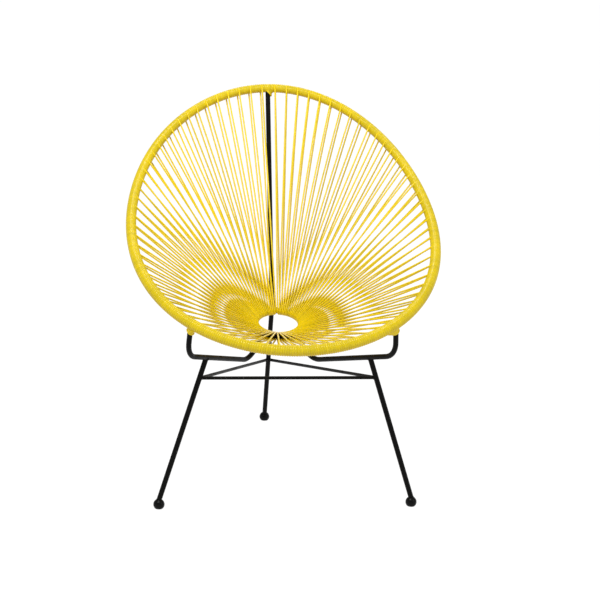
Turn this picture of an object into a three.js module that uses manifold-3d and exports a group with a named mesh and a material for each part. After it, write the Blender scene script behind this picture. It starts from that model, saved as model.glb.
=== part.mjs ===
// An acapulco chair: an egg-shaped steel hoop, strung with PVC cord to a small ring, on three legs of
// round bar. Millimetres, +Z up. The origin is at floor level under the middle of the chair, and a sitter
// faces -Y. Pieces are shaped on the +X side, the right of someone who looks at the chair's front, and
// mirrored for the left.

import * as THREE from 'three';
import { mergeVertices } from 'three/addons/utils/BufferGeometryUtils.js';
import Module from 'manifold-3d';

const wasm = await Module();
wasm.setup();

const wholeTurn = 2 * Math.PI;
const quarterTurn = Math.PI / 2;

// Fits and how finely round things are cut
const clearance = 0.3;              // between two pieces that touch on the real chair
const barSides = 10;
const hoopSides = 8;
const cordSides = 5;
const bendSteps = 4;                // straight steps in a bar's bend
const wrapCorners = 4;              // corners of a string where it goes round the ring
const hoopDivisions = 720;          // for measuring along the hoop

// Hoop, measured on its centreline
const hoopRadius = 7.5;
const hoopHalfWidth = 350;
const hoopReach = 391.8;            // from the middle of the chair to the front, and to the back
const hoopShoulder = 42.2;          // how far the sides are carried back of a plain oval
const hoopFrontHeight = 407.2;
const hoopBackHeight = 862;
const hoopSideLift = 8.3;
const eggShares = [1, 0.102, 0.045, 0.006]; // harmonics of the half width, from front to back
const backRiseShare = 0.043;        // third harmonic of the rise from front to back

// Cord
const stringCount = 80;             // strings round the whole hoop
const cordDiameter = 4.4;
const stringRadius = 2.15;          // of the five-sided string where it leaves the hoop
const squeezedRadius = 1.72;        // of the same string where it crowds round the ring
const returnOffset = 4.4;           // the string comes back one cord further along the hoop
const spacingShare = 0.1;           // strings are this much closer at front and back than on average
const stringsPerLength = 8;
const lengthGap = 0.4;
const stringLead = THREE.MathUtils.degToRad(30); // a string sinks into the winding this far round
const stringFloor = 0.13;           // of the winding left under a string's end

// Ring at the bottom of the basket
const ringCentre = new THREE.Vector3(0, 30, 349.7);
const ringRadius = 57;
const ringBarRadius = 6;
const ringTilt = THREE.MathUtils.degToRad(16.7);
const ringSteps = 36;               // round the ring
const ringSides = 8;                // round its bar
const bracketSeatAngle = THREE.MathUtils.degToRad(45);
const bracketPassage = 8.8;         // half the opening between strings where a bracket reaches the ring
const spinePassage = 8.6;
const saddleDepth = 2.5;            // how far short of the middle of the ring's bar a welded bar ends

// Frame bars
const frontLegRadius = 6;
const bracketRadius = 6;
const spineRadius = 6;
const rearLegRadius = 6;
const stretcherRadius = 3.75;
const bracketBend = 53;
const spineBend = 50;

// Where the frame stands and how it is bent
const frontFootHalfSpread = 289.5;
const frontFootY = -261;
const rearFootY = 339.5;
const bracketOffset = 3;            // the bracket meets the hoop this far past the first length of cord
const bracketCorner = new THREE.Vector3(228, -304, 368.7);
const bracketLowPoint = new THREE.Vector3(69.4, -35.1, 278.3);
const spineOffset = 7.5;            // the spine meets the hoop this far to the left of its middle
const spineElbow = new THREE.Vector3(0, 206.9, 344);
const legSeatShare = 0.281;         // where the leg is welded, along the bracket's lower run
const frontStretcherShare = 0.861;  // where the stretchers are welded, up the front legs
const rearStretcherShare = 0.508;   // and up the rear leg
const stretcherSpread = 2.5;        // each side stretcher meets the rear leg this far off its middle

// Ball feet
const footRadius = 12.8;
const footCentreHeight = 9;
const frontFootInset = 3;           // a front ball sits this far inward of its leg's axis
const footBoreDepth = 0.8;          // the bore goes this much deeper than the leg's end
const footSides = 14;

const steel = { color: 0x1c1a19, roughness: 0.35, metalness: 0.4 };
const bareSteel = { color: 0x2a2827, roughness: 0.4, metalness: 0.6 };
const plastic = { color: 0x121212, roughness: 0.2, metalness: 0 };
const pvc = { color: 0xe3c22c, roughness: 0.38, metalness: 0 };

const chair = new THREE.Group();

/** A closed skin over rings of points, capped at both ends unless the rings run round in a loop. */
function skin(rings, loop) {
  const count = rings[0].length;
  const positions = [];
  const indices = [];
  rings.forEach((ring) => ring.forEach((p) => positions.push(p.x, p.y, p.z)));
  const spans = loop ? rings.length : rings.length - 1;
  for (let i = 0; i < spans; i++) {
    const here = i * count;
    const there = ((i + 1) % rings.length) * count;
    for (let j = 0; j < count; j++) {
      const k = (j + 1) % count;
      indices.push(here + j, here + k, there + j);
      indices.push(here + k, there + k, there + j);
    }
  }
  if (!loop) {
    const last = (rings.length - 1) * count;
    for (let j = 1; j < count - 1; j++) {
      indices.push(0, j + 1, j);
      indices.push(last, last + j, last + j + 1);
    }
  }
  const geometry = new THREE.BufferGeometry();
  geometry.setAttribute('position', new THREE.Float32BufferAttribute(positions, 3));
  geometry.setIndex(indices);
  return geometry;
}

/** A ring of points round a centre, in the plane of two unit vectors. */
function circle(centre, across, up, radius, sides) {
  return Array.from({ length: sides }, (_, i) => {
    const turn = (i / sides) * wholeTurn;
    return centre.clone()
      .addScaledVector(across, radius * Math.cos(turn))
      .addScaledVector(up, radius * Math.sin(turn));
  });
}

/** The unit vector square to a direction that is nearest to a wanted one. */
function squareTo(direction, wanted) {
  const across = wanted.clone().addScaledVector(direction, -wanted.dot(direction));
  return across.normalize();
}

/** A bar along points, mitred at every corner, with a radius for each. Its first side faces wanted. */
function bar(points, radii, sides, wanted) {
  const runs = points.slice(1).map((p, i) => p.clone().sub(points[i]).normalize());
  const across = squareTo(runs[0], wanted);
  const up = runs[0].clone().cross(across);
  const offsets = circle(new THREE.Vector3(), across, up, 1, sides);
  const rings = points.map((point, i) => {
    const before = runs[Math.max(i - 1, 0)];
    const after = runs[Math.min(i, runs.length - 1)];
    const plane = before.clone().add(after).normalize();
    offsets.forEach((offset) => offset.addScaledVector(before, -offset.dot(plane) / before.dot(plane)));
    return offsets.map((offset) => point.clone().addScaledVector(offset, radii[i]));
  });
  return skin(rings, false);
}

/** Points along a bent bar: straight runs between corners, with every inner corner rounded. */
function bend(corners, radius) {
  const points = [corners[0].clone()];
  for (let i = 1; i < corners.length - 1; i++) {
    const back = corners[i - 1].clone().sub(corners[i]).normalize();
    const on = corners[i + 1].clone().sub(corners[i]).normalize();
    const half = back.angleTo(on) / 2;
    const start = corners[i].clone().addScaledVector(back, radius / Math.tan(half));
    const centre = corners[i].clone()
      .addScaledVector(back.clone().add(on).normalize(), radius / Math.sin(half));
    const axis = back.clone().cross(on).normalize();
    const spoke = start.clone().sub(centre);
    for (let step = 0; step <= bendSteps; step++) {
      const turn = -(step / bendSteps) * (Math.PI - 2 * half);
      points.push(centre.clone().add(spoke.clone().applyAxisAngle(axis, turn)));
    }
  }
  points.push(corners[corners.length - 1].clone());
  return points;
}

/** A round bar of one radius, as a solid. One of its edges faces wanted, by default the chair's side. */
function roundBar(points, radius, wanted = new THREE.Vector3(1, 0, 0)) {
  return solidOf(bar(points, points.map(() => radius), barSides, wanted));
}

/** A solid to cut and join, from a closed geometry's positions alone. */
function solidOf(geometry) {
  const loose = new THREE.BufferGeometry();
  loose.setAttribute('position', geometry.attributes.position);
  loose.setIndex(geometry.index);
  const plain = mergeVertices(loose);
  return new wasm.Manifold(new wasm.Mesh({
    numProp: 3,
    vertProperties: Float32Array.from(plain.attributes.position.array),
    triVerts: Uint32Array.from(plain.index.array),
  }));
}

/** A geometry to show, from a solid. */
function geometryOf(solid) {
  const mesh = solid.getMesh();
  const geometry = new THREE.BufferGeometry();
  geometry.setAttribute('position', new THREE.Float32BufferAttribute(mesh.vertProperties, 3));
  geometry.setIndex(Array.from(mesh.triVerts));
  return geometry;
}

/** Puts a piece in the chair under its name, with a material of its own. */
function addPiece(name, geometry, finish) {
  geometry.computeVertexNormals();
  const mesh = new THREE.Mesh(geometry, new THREE.MeshStandardMaterial({ ...finish, flatShading: true }));
  mesh.name = name;
  chair.add(mesh);
}

/** The hoop's centreline. It starts at the front and runs round by the viewer's right, +X. */
class HoopCurve extends THREE.Curve {
  constructor() {
    super();
    this.arcLengthDivisions = hoopDivisions;
    const widths = Array.from({ length: hoopDivisions }, (_, i) => this.egg((i / hoopDivisions) * Math.PI));
    this.widest = Math.max(...widths);
  }

  /** The half width at a turn from the front, before it is scaled. */
  egg(turn) {
    return eggShares.reduce((sum, share, k) => sum + share * Math.sin((k + 1) * turn), 0);
  }

  getPoint(t, target = new THREE.Vector3()) {
    const turn = wholeTurn * t;
    const rise = (hoopBackHeight - hoopFrontHeight) / 2;
    const sides = 1 - Math.cos(2 * turn);
    const back = (1 - backRiseShare) * Math.cos(turn) + backRiseShare * Math.cos(3 * turn);
    return target.set(
      (hoopHalfWidth / this.widest) * this.egg(turn),
      -hoopReach * Math.cos(turn) + hoopShoulder * sides,
      hoopFrontHeight + rise * (1 - back) + hoopSideLift * sides,
    );
  }
}

const hoop = new HoopCurve();
const stringStep = hoop.getLength() / stringCount;

/** How far round the hoop, from 0 to 1, a place lies that is counted in strings from the front. */
function shareAt(place) {
  const half = (2 * place) / stringCount;
  return (half - (spacingShare * Math.sin(wholeTurn * half)) / wholeTurn) / 2;
}

/**
 * The hoop's centre, direction and two cross directions at a place counted in strings from the front.
 * The hoop runs straight between whole places, and its winding with it, so that the two keep their gap.
 */
function station(place) {
  const low = Math.floor(place);
  const high = Math.ceil(place);
  const centre = hoop.getPointAt(shareAt(low)).lerp(hoop.getPointAt(shareAt(high)), place - low);
  const along = hoop.getTangentAt(shareAt(low)).lerp(hoop.getTangentAt(shareAt(high)), place - low);
  along.normalize();
  const across = squareTo(along, ringCentre.clone().sub(centre));
  return { centre, along, across, up: along.clone().cross(across) };
}

/** The hoop itself, fattened by an allowance. */
function hoopGeometry(allowance) {
  const rings = Array.from({ length: stringCount }, (_, i) => {
    const { centre, across, up } = station(i);
    return circle(centre, across, up, hoopRadius + allowance, hoopSides);
  });
  return skin(rings, true);
}

/** The cord wound on the hoop between two places, as an open sleeve. */
function sleeve(start, end) {
  const places = [start];
  for (let whole = Math.floor(start) + 1; whole < end; whole++) places.push(whole);
  places.push(end);
  const ringsOf = (radius) => places.map((place) => {
    const { centre, across, up } = station(place);
    return circle(centre, across, up, radius, hoopSides);
  });
  const inner = hoopRadius + clearance;
  return skin([...ringsOf(inner + cordDiameter), ...ringsOf(inner).reverse()], true);
}

/** The centre ring's frame at an angle from the front. */
function ringFrame(angle) {
  const back = new THREE.Vector3(0, Math.cos(ringTilt), Math.sin(ringTilt));
  const right = new THREE.Vector3(1, 0, 0);
  const out = right.clone().multiplyScalar(Math.sin(angle)).addScaledVector(back, -Math.cos(angle));
  const along = right.clone().multiplyScalar(Math.cos(angle)).addScaledVector(back, Math.sin(angle));
  return { centre: ringCentre.clone().addScaledVector(out, ringRadius), along };
}

function ringGeometry(allowance) {
  const geometry = new THREE.TorusGeometry(ringRadius, ringBarRadius + allowance, ringSides, ringSteps);
  geometry.rotateX(ringTilt);
  geometry.translate(ringCentre.x, ringCentre.y, ringCentre.z);
  return geometry;
}

/** The end of a bar that comes from a point and is welded to the ring at an angle from the front. */
function tipAtRing(from, angle) {
  const middle = ringFrame(angle).centre;
  return middle.addScaledVector(from.clone().sub(middle).normalize(), saddleDepth);
}

/** Where a string comes out under the ring: the strings part there to let the brackets and the spine in. */
function lowerAngle(index) {
  const inFront = Math.round((bracketSeatAngle / wholeTurn) * stringCount);
  const bracketPart = bracketPassage / ringRadius;
  const spinePart = spinePassage / ringRadius;
  if (index < inFront) return ((bracketSeatAngle - bracketPart) * (index + 0.5)) / (inFront - 0.5);
  const start = bracketSeatAngle + bracketPart;
  const lastIndex = stringCount / 2 - 1;
  return start + ((Math.PI - spinePart - start) * (index - inFront)) / (lastIndex - inFront);
}

/**
 * One end of a string: where it sinks into the winding, the face of the basket and the way into the hole.
 * The string lies on the seat side of hoop and ring where face is 1, and on the far side where it is -1.
 */
function stringEnd(place, angle, face) {
  const rim = station(place);
  const ring = ringFrame(angle);
  const pull = rim.centre.clone().sub(ring.centre).normalize();
  const normal = pull.clone().cross(ring.along).normalize();
  const rimNormal = pull.clone().cross(rim.along).normalize();
  const inward = normal.clone().cross(ring.along).normalize();
  const seat = hoopRadius + clearance + stringFloor + stringRadius * Math.cos(Math.PI / cordSides);
  const point = rim.centre
    .addScaledVector(rimNormal, face * seat * Math.cos(stringLead))
    .addScaledVector(pull, -seat * Math.sin(stringLead));
  return { point, normal, inward };
}

/** One string on the +X side: hoop to ring, round the ring, and back to the hoop. */
function string(index) {
  const upperAngle = ((index + 0.5) / stringCount) * wholeTurn;
  const underAngle = lowerAngle(index);
  const backPlace = index + 0.5 - returnOffset / stringStep;
  const front = stringEnd(index + 0.5, upperAngle, 1);
  const rear = stringEnd(backPlace, underAngle, -1);

  const halfStep = quarterTurn / wrapCorners;
  const reach = ringBarRadius + clearance + squeezedRadius * Math.cos(Math.PI / cordSides);
  const cornerReach = reach / Math.cos(halfStep);
  const corners = Array.from({ length: wrapCorners }, (_, i) => {
    const turn = (2 * i + 1) * halfStep;
    const share = Math.max(0, (i - 1) / (wrapCorners - 2));
    const normal = front.normal.clone().lerp(rear.normal, share).normalize();
    const inward = front.inward.clone().lerp(rear.inward, share).normalize();
    return ringFrame(THREE.MathUtils.lerp(upperAngle, underAngle, share)).centre
      .addScaledVector(normal, cornerReach * Math.cos(turn))
      .addScaledVector(inward, cornerReach * Math.sin(turn));
  });
  const points = [front.point, ...corners, rear.point];
  const radii = [stringRadius, ...corners.map(() => squeezedRadius), stringRadius];
  return bar(points, radii, cordSides, front.normal);
}

/** The same solid on the other side of the chair. */
function mirrored(solid, side) {
  return side < 0 ? solid.mirror([1, 0, 0]) : solid;
}

// Centrelines of the bars
const bracketPlace = stringsPerLength; // between the first and the second length of cord
const bracketTop = station(bracketPlace + bracketOffset / stringStep).centre;
const bracketTip = tipAtRing(bracketLowPoint, bracketSeatAngle);
const bracketLine = bend([bracketTop, bracketCorner, bracketLowPoint, bracketTip], bracketBend);
const legTop = bracketCorner.clone().lerp(bracketLowPoint, legSeatShare);
const frontFoot = new THREE.Vector3(frontFootHalfSpread, frontFootY, footCentreHeight);
const spineTop = station(stringCount / 2 + spineOffset / stringStep).centre;
const spineLine = bend([spineTop, spineElbow, tipAtRing(spineElbow, Math.PI)], spineBend);
const rearLegTop = spineLine[1 + bendSteps / 2];
const rearFoot = new THREE.Vector3(0, rearFootY, footCentreHeight);

const hoopRoom = solidOf(hoopGeometry(clearance));
const ringRoom = solidOf(ringGeometry(clearance));
const bracketRoom = roundBar(bracketLine, bracketRadius + clearance);
const spineRoom = roundBar(spineLine, spineRadius + clearance);
const legRoom = roundBar([frontFoot, legTop], frontLegRadius + clearance);
const rearLegRoom = roundBar([rearFoot, rearLegTop], rearLegRadius + clearance);

addPiece('hoop_rod', hoopGeometry(0), bareSteel);
addPiece('centre_ring', ringGeometry(0), steel);

const spine = roundBar(spineLine, spineRadius).subtract(hoopRoom).subtract(ringRoom);
addPiece('back_spine', geometryOf(spine), steel);

const rearLeg = roundBar([rearFoot, rearLegTop], rearLegRadius).subtract(spineRoom);
addPiece('rear_leg', geometryOf(rearLeg), steel);

const bracket = roundBar(bracketLine, bracketRadius).subtract(hoopRoom).subtract(ringRoom);
const frontLeg = roundBar([frontFoot, legTop], frontLegRadius).subtract(bracketRoom);

// Stretchers
const stretcherFront = frontFoot.clone().lerp(legTop, frontStretcherShare);
const stretcherRear = rearFoot.clone().lerp(rearLegTop, rearStretcherShare).setX(stretcherSpread);
const crossLine = [stretcherFront.clone().setX(-stretcherFront.x), stretcherFront];
const upward = new THREE.Vector3(0, 0, 1);
const crossRoom = roundBar(crossLine, stretcherRadius + clearance, upward);
const crossBar = roundBar(crossLine, stretcherRadius, upward)
  .subtract(legRoom).subtract(mirrored(legRoom, -1));
addPiece('front_stretcher', geometryOf(crossBar), steel);
const sideStretcher = roundBar([stretcherFront, stretcherRear], stretcherRadius)
  .subtract(legRoom).subtract(rearLegRoom).subtract(crossRoom);

/** A ball foot with a flat underside, bored for the end of a leg that comes from its top. */
function footSolid(centre, legEnd, top, barRadius) {
  const flatAngle = Math.asin(footCentreHeight / footRadius);
  const profile = [new THREE.Vector2(0, -footCentreHeight)];
  const steps = footSides / 2;
  for (let i = 0; i < steps; i++) {
    const turn = -flatAngle + (i / steps) * (flatAngle + quarterTurn);
    profile.push(new THREE.Vector2(footRadius * Math.cos(turn), footRadius * Math.sin(turn)));
  }
  profile.push(new THREE.Vector2(0, footRadius));
  const ball = new THREE.LatheGeometry(profile, footSides);
  ball.rotateX(quarterTurn);
  ball.translate(centre.x, centre.y, centre.z);
  const axis = top.clone().sub(legEnd).normalize();
  const boreFloor = legEnd.clone().addScaledVector(axis, -footBoreDepth);
  const boreMouth = legEnd.clone().addScaledVector(axis, 2 * footRadius);
  return solidOf(ball).subtract(roundBar([boreFloor, boreMouth], barRadius + clearance));
}

const frontBall = frontFoot.clone().setX(frontFootHalfSpread - frontFootInset);
const frontFootSolid = footSolid(frontBall, frontFoot, legTop, frontLegRadius);
addPiece('rear_foot', geometryOf(footSolid(rearFoot, rearFoot, rearLegTop, rearLegRadius)), plastic);

/**
 * One length of cord: its winding on the hoop and its strings, as one body on the +X side. The rooms cut
 * from it are those of the side that it ends up on.
 */
function cordLength(number, side) {
  const first = number * stringsPerLength;
  const last = first + stringsPerLength;
  const gap = lengthGap / 2 / stringStep;
  const strings = Array.from({ length: stringsPerLength }, (_, i) => solidOf(string(first + i)));
  const winding = solidOf(sleeve(first + gap, last - gap));
  let cord = wasm.Manifold.union([winding, ...strings]);
  if (first === bracketPlace || last === bracketPlace) cord = cord.subtract(bracketRoom);
  if (last === stringCount / 2) cord = cord.subtract(mirrored(spineRoom, side));
  return cord;
}

const lengthsPerSide = stringCount / 2 / stringsPerLength;

for (const [side, word] of [[-1, 'left'], [1, 'right']]) {
  addPiece(`${word}_bracket`, geometryOf(mirrored(bracket, side)), steel);
  addPiece(`${word}_leg`, geometryOf(mirrored(frontLeg, side)), steel);
  addPiece(`${word}_stretcher`, geometryOf(mirrored(sideStretcher, side)), steel);
  addPiece(`${word}_foot`, geometryOf(mirrored(frontFootSolid, side)), plastic);
  for (let i = 0; i < lengthsPerSide; i++) {
    addPiece(`${word}_cord_${i + 1}`, geometryOf(mirrored(cordLength(i, side), side)), pvc);
  }
}

export default chair;
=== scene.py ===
"""An acapulco chair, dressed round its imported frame.

The chair is an egg-shaped steel hoop, wound with yellow PVC cord and strung with it to a small ring, on a
tripod of black round bar with three ball feet. Lengths are in metres, +Z is up, and a sitter faces -Y.
Pieces are worked out on the +X side, the right of someone who looks at the chair's front, and mirrored for
the left.
"""
import logging
import math
from dataclasses import dataclass, field
from enum import Enum

import bpy
import numpy as np
from mathutils import Matrix


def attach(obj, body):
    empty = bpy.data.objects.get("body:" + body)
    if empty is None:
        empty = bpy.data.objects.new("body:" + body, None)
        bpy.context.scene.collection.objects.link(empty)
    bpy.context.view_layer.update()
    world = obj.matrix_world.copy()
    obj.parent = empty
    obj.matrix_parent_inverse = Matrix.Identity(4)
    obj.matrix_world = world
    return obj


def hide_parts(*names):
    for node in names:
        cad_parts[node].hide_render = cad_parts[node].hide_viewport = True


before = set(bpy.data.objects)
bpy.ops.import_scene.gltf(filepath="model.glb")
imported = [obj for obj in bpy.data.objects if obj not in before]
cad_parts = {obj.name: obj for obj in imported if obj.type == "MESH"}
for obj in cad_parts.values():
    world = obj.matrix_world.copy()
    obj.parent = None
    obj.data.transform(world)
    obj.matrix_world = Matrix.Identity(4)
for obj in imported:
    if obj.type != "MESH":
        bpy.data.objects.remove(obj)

LOG = logging.getLogger("chair")
Values = np.ndarray | float               # one number, or one for each point
MM = 0.001
WHOLE_TURN = 2 * math.pi
X_AXIS = np.array([1.0, 0.0, 0.0])
Z_AXIS = np.array([0.0, 0.0, 1.0])
CREST_POWER = 2.4                         # of the curve over a turn of cord, a little squarer than a circle
GROOVE_FLOOR = 0.55                       # of the cord's radius, left standing between two turns
GROOVE_POWER = 4                          # how steeply the groove's shade sets in away from the crest


class Side(Enum):
    """The sides of the chair, with what x is multiplied by on each."""

    LEFT = -1
    RIGHT = 1

    @property
    def word(self) -> str:
        """The side's name in lower case, as the nodes have it."""
        return self.name.lower()


class Slot(Enum):
    """The record's material slots."""

    CORD = "cord"
    FRAME = "frame"
    BARE_ROD = "bare_rod"
    FEET = "feet"


@dataclass(frozen=True)
class Stock:
    """Round bar of one thickness."""

    radius: float
    sides: int                            # of the mesh
    bead: float                           # radius of the weld bead round its ends


HEAVY = Stock(6 * MM, 24, 1.25 * MM)
LIGHT = Stock(3.75 * MM, 20, 0.9 * MM)


def unit(vectors: np.ndarray) -> np.ndarray:
    """Vectors made one long."""
    return vectors / np.linalg.norm(vectors, axis=-1, keepdims=True)


def square_to(direction: np.ndarray, wanted: np.ndarray) -> np.ndarray:
    """The unit vectors square to directions that are nearest to wanted ones."""
    return unit(wanted - np.sum(wanted * direction, axis=-1, keepdims=True) * direction)


def mix(a: Values, b: Values, share: Values) -> Values:
    """Values from a to b, in proportion to a share from 0 to 1."""
    return a + (b - a) * share


def eased(share: np.ndarray) -> np.ndarray:
    """A share s from 0 to 1 that sets off and arrives gently: s^2 (3 - 2 s)."""
    return share * share * (3 - 2 * share)


def angles_round(count: int) -> np.ndarray:
    """Angles in equal steps round a whole turn."""
    return np.arange(count) / count * WHOLE_TURN


def spokes(angle: np.ndarray, across: np.ndarray, up: np.ndarray) -> np.ndarray:
    """The directions at angles a from across towards up: cos(a) across + sin(a) up."""
    return np.cos(angle) * across + np.sin(angle) * up


def crest(offset: np.ndarray) -> np.ndarray:
    """The height of a turn of cord at x, from 0 in its middle to 1 at its edge: sqrt(1 - x^2.4)."""
    return np.sqrt(np.maximum(1 - offset ** CREST_POWER, 0))


def filleted(corners: np.ndarray, radius: float, steps: int) -> np.ndarray:
    """Points along a bent bar.

    At each inner corner the straight runs give way to an arc of the radius that touches both: from the arc's
    centre, the points are the spoke to the first touching point turned by equal steps.

    Args:
        corners: Where the straight runs would meet, in order.
        radius: Of every bend, on the bar's centreline.
        steps: Spans in each bend.

    Returns:
        The points, in order.
    """
    parts = [corners[:1]]
    for before, corner, after in zip(corners[:-2], corners[1:-1], corners[2:]):
        back, on = unit(before - corner), unit(after - corner)
        half = math.acos(float(back @ on)) / 2
        centre = corner + unit(back + on) * radius / math.sin(half)
        spoke = corner + back * radius / math.tan(half) - centre
        other = np.cross(unit(np.cross(on, back)), spoke)
        turns = np.linspace(0, math.pi - 2 * half, steps + 1)[:, None]
        parts.append(centre + spokes(turns, spoke, other))
    parts.append(corners[-1:])
    return np.concatenate(parts)


def headings(path: np.ndarray, loop: bool) -> np.ndarray:
    """The direction of a path at each of its points: halfway between the runs before and after the point.

    Args:
        path: Shaped (..., stations, 3).
        loop: Whether the path's last point comes before its first.

    Returns:
        Unit vectors, shaped as the path is.
    """
    if loop:
        runs = unit(np.roll(path, -1, axis=-2) - path)
        return unit(runs + np.roll(runs, 1, axis=-2))
    runs = unit(np.diff(path, axis=-2))
    middle = runs[..., :-1, :] + runs[..., 1:, :]
    return unit(np.concatenate([runs[..., :1, :], middle, runs[..., -1:, :]], axis=-2))


def rings_along(path: np.ndarray, wanted: np.ndarray, wide: Values, high: Values, sides: int,
                loop: bool) -> np.ndarray:
    """Rings of points round a path, which together make a tube.

    A point at angle a round the path is centre + wide cos(a) across + high sin(a) up, where across is square
    to the path and nearest to the wanted vector, and up is square to both.

    Args:
        path: Centres, shaped (..., stations, 3).
        wanted: Vectors that the rings' first points face.
        wide: Half width, along across, for each station or for all.
        high: Half height, along up.
        sides: Points in each ring.
        loop: Whether the path's last point comes before its first.

    Returns:
        Points, shaped (..., stations, sides, 3).
    """
    along = headings(path, loop)
    across = square_to(along, np.broadcast_to(wanted, along.shape))
    up = np.cross(along, across)
    angles = angles_round(sides)[:, None]
    wide = np.broadcast_to(wide, path.shape[:-1])[..., None, None]
    high = np.broadcast_to(high, path.shape[:-1])[..., None, None]
    ring = wide * np.cos(angles) * across[..., None, :]
    return path[..., None, :] + ring + high * np.sin(angles) * up[..., None, :]


def corners_of(grid: np.ndarray) -> np.ndarray:
    """The values at the four corners of each cell of grids.

    Args:
        grid: Shaped (..., rows, columns, values).

    Returns:
        Shaped (cells, 4, values), each cell's corners in the order that faces it outwards.
    """
    corners = np.stack([grid[..., :-1, :-1, :], grid[..., :-1, 1:, :], grid[..., 1:, 1:, :],
                        grid[..., 1:, :-1, :]], axis=-2)
    return corners.reshape(-1, 4, grid.shape[-1])


@dataclass
class Skin:
    """One mesh that grows by whole grids of points."""

    points: list[np.ndarray] = field(default_factory=list)
    tones: list[np.ndarray] = field(default_factory=list)
    grooves: list[np.ndarray] = field(default_factory=list)
    faces: list[np.ndarray] = field(default_factory=list)
    maps: list[np.ndarray] = field(default_factory=list)
    count: int = 0

    def add_points(self, points: np.ndarray, tone: Values = 0.0, groove: Values = 0.0) -> np.ndarray:
        """Adds points.

        Args:
            points: Shaped (..., 3).
            tone: How dull each point's colour is, about 0.
            groove: How deep each point lies between cords, from 0 to 1.

        Returns:
            The points' numbers in the mesh, shaped as the points are.
        """
        shape = points.shape[:-1]
        total = int(np.prod(shape))
        numbers = np.arange(self.count, self.count + total).reshape(shape)
        self.points.append(points.reshape(-1, 3))
        self.tones.append(np.broadcast_to(tone, shape).reshape(-1))
        self.grooves.append(np.broadcast_to(groove, shape).reshape(-1))
        self.count += total
        return numbers

    def add_faces(self, faces: np.ndarray, maps: np.ndarray | None = None) -> None:
        """Adds faces with as many corners each, shaped (faces, corners), and their corners' UVs."""
        self.faces.append(faces)
        self.maps.append(np.zeros(faces.shape + (2,)) if maps is None else maps)

    def add_strip(self, numbers: np.ndarray, maps: np.ndarray | None = None, loop: bool = False) -> None:
        """Adds the quads of a grid whose columns run all the way round.

        Args:
            numbers: Point numbers, shaped (..., rows, columns).
            maps: UVs, shaped (..., rows, columns + 1, 2).
            loop: Whether the last row is joined to the first.
        """
        if loop:
            numbers = np.concatenate([numbers, numbers[..., :1, :]], axis=-2)
        numbers = np.concatenate([numbers, numbers[..., :1]], axis=-1)
        self.add_faces(corners_of(numbers[..., None])[..., 0], None if maps is None else corners_of(maps))

    def add_tube(self, path: np.ndarray, wanted: np.ndarray, wide: Values, high: Values | None = None,
                 sides: int = 24, loop: bool = False, tone: Values = 0.0, groove: Values = 0.0,
                 start: Values = 0.0) -> None:
        """Adds tubes along paths, closed at both ends unless they run round in a loop.

        Args:
            path: Centres, shaped (..., stations, 3).
            wanted: Vectors that the tubes' first side faces.
            wide: Half width.
            high: Half height, if it isn't the same.
            sides: Round the tube.
            loop: Whether the ends meet.
            tone: Shaped as the paths' stations with a last axis of one, or a number.
            groove: Shaped in the same way.
            start: Length along the cord at which each path's UV map starts.
        """
        rings = rings_along(path, wanted, wide, wide if high is None else high, sides, loop)
        numbers = self.add_points(rings, tone, groove)
        closed = np.concatenate([path, path[..., :1, :]], axis=-2) if loop else path
        steps = np.linalg.norm(np.diff(closed, axis=-2), axis=-1)
        lengths = np.cumsum(np.concatenate([np.zeros(steps.shape[:-1] + (1,)), steps], axis=-1), axis=-1)
        girth = np.linspace(0, WHOLE_TURN * float(np.max(wide)), sides + 1)
        maps = np.stack(np.broadcast_arrays((lengths + start)[..., None], girth), axis=-1)
        self.add_strip(numbers, maps, loop)
        if not loop:
            self.add_faces(numbers[..., 0, ::-1].reshape(-1, sides))
            self.add_faces(numbers[..., -1, :].reshape(-1, sides))

    def build(self, name: str, side: Side, slot: Slot, nodes: list[str], finish: bpy.types.Material,
              sharp: float = 40.0) -> None:
        """Makes the piece, which rides on the chair's one body.

        Args:
            name: Of the piece.
            side: The left side's mesh is mirrored, with its faces turned round.
            slot: Not used.
            nodes: CAD nodes that it replaces.
            finish: Its material.
            sharp: Edges are shaded sharp from this many degrees up.
        """
        points = np.concatenate(self.points) * [side.value, 1, 1]
        order = slice(None, None, side.value)
        faces = [block[:, order] for block in self.faces]
        maps = [block[:, order].reshape(-1, 2) for block in self.maps]
        sizes = np.concatenate([np.full(len(block), block.shape[1]) for block in faces])
        mesh = bpy.data.meshes.new(name)
        mesh.vertices.add(len(points))
        mesh.vertices.foreach_set("co", points.ravel())
        mesh.loops.add(int(sizes.sum()))
        mesh.loops.foreach_set("vertex_index", np.concatenate([block.ravel() for block in faces]))
        mesh.polygons.add(len(sizes))
        mesh.polygons.foreach_set("loop_start", np.cumsum(sizes) - sizes)
        mesh.update(calc_edges=True)
        mesh.uv_layers.new(name="cord_map").uv.foreach_set("vector", np.concatenate(maps).ravel())
        for label, values in (("tone", self.tones), ("groove", self.grooves)):
            layer = mesh.attributes.new(label, "FLOAT", "POINT")
            layer.data.foreach_set("value", np.concatenate(values).astype(np.float32))
        mesh.validate()
        mesh.shade_smooth()
        mesh.set_sharp_from_angle(angle=math.radians(sharp))
        mesh.materials.append(finish)
        piece = bpy.data.objects.new(name, mesh)
        bpy.context.scene.collection.objects.link(piece)
        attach(piece, "root")
        if nodes:
            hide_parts(*nodes)
        LOG.info("%s: %d faces", name, len(sizes))


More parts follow.
